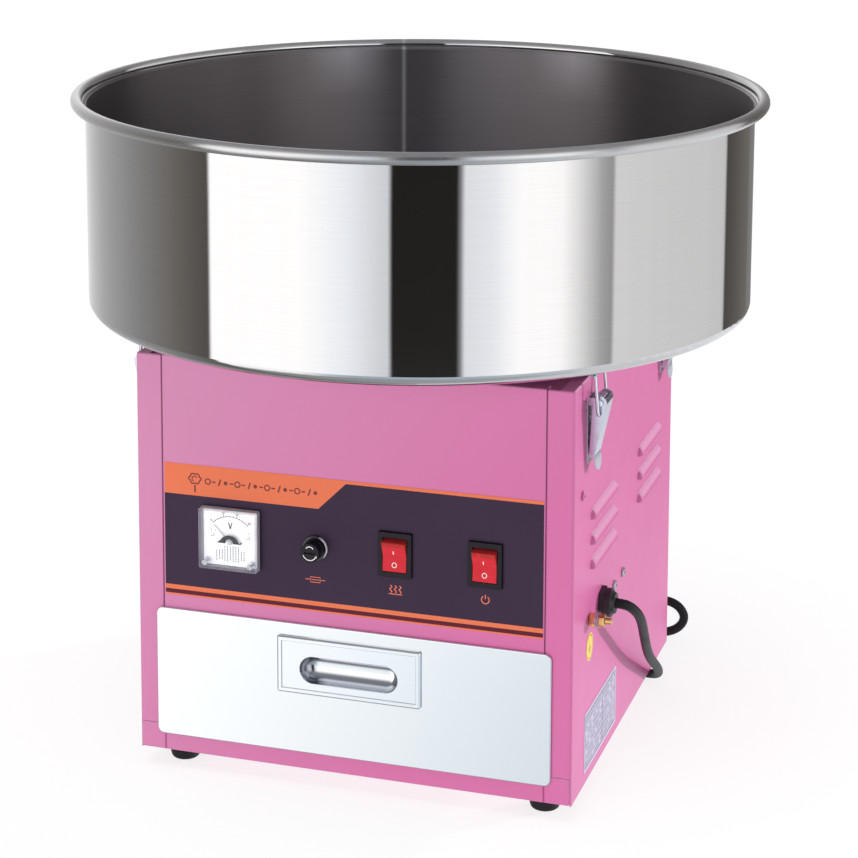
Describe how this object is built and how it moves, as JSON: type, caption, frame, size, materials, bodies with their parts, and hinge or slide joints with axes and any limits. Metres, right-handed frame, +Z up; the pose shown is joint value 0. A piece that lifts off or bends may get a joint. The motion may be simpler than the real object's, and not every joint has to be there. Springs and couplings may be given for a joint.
{
  "type": "cotton candy machine",
  "caption": "Counter-top cotton candy machine: folded steel case with control panel, toggle latches and a drawer, under a wide removable spun-steel bowl with a spinner head.",
  "frame": {"origin": "centre of the footprint on the floor, under the middle of the bowl", "axes": "+Z up; +X to the right as the operator faces the control panel; -Y is the front, where the control panel and drawer are"},
  "size_m": [0.5199, 0.52, 0.4878],
  "materials": {
    "pink_paint": "gloss powder coat",
    "satin_stainless": "satin spun",
    "chrome_steel": "bright plated",
    "zinc_steel": "bright zinc",
    "cast_aluminium": "satin",
    "brass": "satin",
    "black_rubber": "matt",
    "black_plastic": "fine texture",
    "white_plastic": "gloss",
    "red_plastic": "translucent gloss",
    "clear_cover": "clear polished",
    "printed_film": "printed, satin",
    "carbon": "matt"
  },
  "bodies": {
    "case": {"base_pan": "pink_paint", "left_side_panel": "pink_paint", "right_side_panel": "pink_paint", "front_panel": "pink_paint", "rear_panel": "pink_paint", "deck_plate": "pink_paint", "rubber_feet": "black_rubber", "case_screws": "pink_paint", "steel_screws": "zinc_steel", "drawer_runners": "zinc_steel", "drawer_shelf": "zinc_steel", "bowl_seat_ring": "black_rubber", "control_label": "printed_film", "side_labels": "printed_film", "voltmeter_housing": "black_plastic", "voltmeter_dial": "white_plastic", "voltmeter_cover": "clear_cover", "voltmeter_screws": "zinc_steel", "fuse_holder": "black_plastic", "switch_bodies": "black_plastic", "cable_gland": "black_plastic", "cable_gland_nuts": "black_plastic", "power_cord": "black_rubber", "earth_stud": "brass", "earth_nuts": "brass", "earth_washers": "zinc_steel", "latch_bases": "chrome_steel", "latch_rivets": "chrome_steel", "motor_mount": "zinc_steel", "motor_housing": "cast_aluminium", "motor_bearings": "zinc_steel", "brush_holder": "black_plastic", "carbon_brushes": "carbon", "terminal_block": "white_plastic", "wiring_loom": "white_plastic"},
    "voltmeter_movement": {"voltmeter_needle": "black_plastic"},
    "fuse_carrier": {"fuse_cap": "black_plastic", "fuse_link": "clear_cover"},
    "heat_switch": {"heat_rocker": "red_plastic"},
    "power_switch": {"power_rocker": "red_plastic"},
    "drawer": {"drawer_front": "satin_stainless", "drawer_tray": "satin_stainless", "drawer_pull": "satin_stainless"},
    "bowl_assembly": {"bowl": "satin_stainless", "bowl_hooks": "satin_stainless"},
    "spinner": {"spindle_shaft": "zinc_steel", "slip_rings": "brass", "spinner_base": "cast_aluminium", "heating_element": "satin_stainless", "spinner_band": "satin_stainless", "spinner_cap": "cast_aluminium", "spinner_screws": "zinc_steel"},
    "latch_lever_front_right": {"latch_lever_front_right": "chrome_steel"},
    "latch_bail_front_right": {"latch_bail_front_right": "chrome_steel"},
    "latch_lever_rear_right": {"latch_lever_rear_right": "chrome_steel"},
    "latch_bail_rear_right": {"latch_bail_rear_right": "chrome_steel"},
    "latch_lever_front_left": {"latch_lever_front_left": "chrome_steel"},
    "latch_bail_front_left": {"latch_bail_front_left": "chrome_steel"},
    "latch_lever_rear_left": {"latch_lever_rear_left": "chrome_steel"},
    "latch_bail_rear_left": {"latch_bail_rear_left": "chrome_steel"}
  },
  "joints": [
    {"name": "drawer_slide", "type": "slide", "parent": "case", "child": "drawer", "axis": [0, -1, 0], "range_m": [0, 0.22]},
    {"name": "bowl_lift", "type": "slide", "parent": "case", "child": "bowl_assembly", "axis": [0, 0, 1], "range_m": [0, 0.15]},
    {"name": "spinner_spin", "type": "hinge", "parent": "case", "child": "spinner", "pos_m": [0, 0, 0.3], "axis": [0, 0, 1], "continuous": true},
    {"name": "heat_switch_rock", "type": "hinge", "parent": "case", "child": "heat_switch", "pos_m": [0.034, -0.161, 0.1831], "axis": [-1, 0, 0], "range_deg": [0, 18]},
    {"name": "power_switch_rock", "type": "hinge", "parent": "case", "child": "power_switch", "pos_m": [0.0997, -0.161, 0.1831], "axis": [-1, 0, 0], "range_deg": [0, 18]},
    {"name": "fuse_cap_turn", "type": "hinge", "parent": "case", "child": "fuse_carrier", "pos_m": [-0.0258, -0.163, 0.1812], "axis": [0, -1, 0], "range_deg": [0, 90]},
    {"name": "voltmeter_swing", "type": "hinge", "parent": "case", "child": "voltmeter_movement", "pos_m": [-0.0898, -0.165, 0.1792], "axis": [0, 1, 0], "range_deg": [0, 90]},
    {"name": "lever_front_right", "type": "hinge", "parent": "case", "child": "latch_lever_front_right", "pos_m": [0.1721, -0.122, 0.297], "axis": [0, -1, 0], "range_deg": [0, 80]},
    {"name": "bail_front_right", "type": "hinge", "parent": "latch_lever_front_right", "child": "latch_bail_front_right", "pos_m": [0.1719, -0.122, 0.2889], "axis": [0, -1, 0], "range_deg": [-121, 0]},
    {"name": "lever_rear_right", "type": "hinge", "parent": "case", "child": "latch_lever_rear_right", "pos_m": [0.1721, 0.122, 0.297], "axis": [0, -1, 0], "range_deg": [0, 80]},
    {"name": "bail_rear_right", "type": "hinge", "parent": "latch_lever_rear_right", "child": "latch_bail_rear_right", "pos_m": [0.1719, 0.122, 0.2889], "axis": [0, -1, 0], "range_deg": [-121, 0]},
    {"name": "lever_front_left", "type": "hinge", "parent": "case", "child": "latch_lever_front_left", "pos_m": [-0.1721, -0.122, 0.297], "axis": [0, 1, 0], "range_deg": [0, 80]},
    {"name": "bail_front_left", "type": "hinge", "parent": "latch_lever_front_left", "child": "latch_bail_front_left", "pos_m": [-0.1719, -0.122, 0.2889], "axis": [0, 1, 0], "range_deg": [-121, 0]},
    {"name": "lever_rear_left", "type": "hinge", "parent": "case", "child": "latch_lever_rear_left", "pos_m": [-0.1721, 0.122, 0.297], "axis": [0, 1, 0], "range_deg": [0, 80]},
    {"name": "bail_rear_left", "type": "hinge", "parent": "latch_lever_rear_left", "child": "latch_bail_rear_left", "pos_m": [-0.1719, 0.122, 0.2889], "axis": [0, 1, 0], "range_deg": [-121, 0]}
  ],
  "couplings": [
    {"joint": "bail_front_right", "follows": "lever_front_right", "ratio": -1.5},
    {"joint": "bail_rear_right", "follows": "lever_rear_right", "ratio": -1.5},
    {"joint": "bail_front_left", "follows": "lever_front_left", "ratio": -1.5},
    {"joint": "bail_rear_left", "follows": "lever_rear_left", "ratio": -1.5}
  ]
}
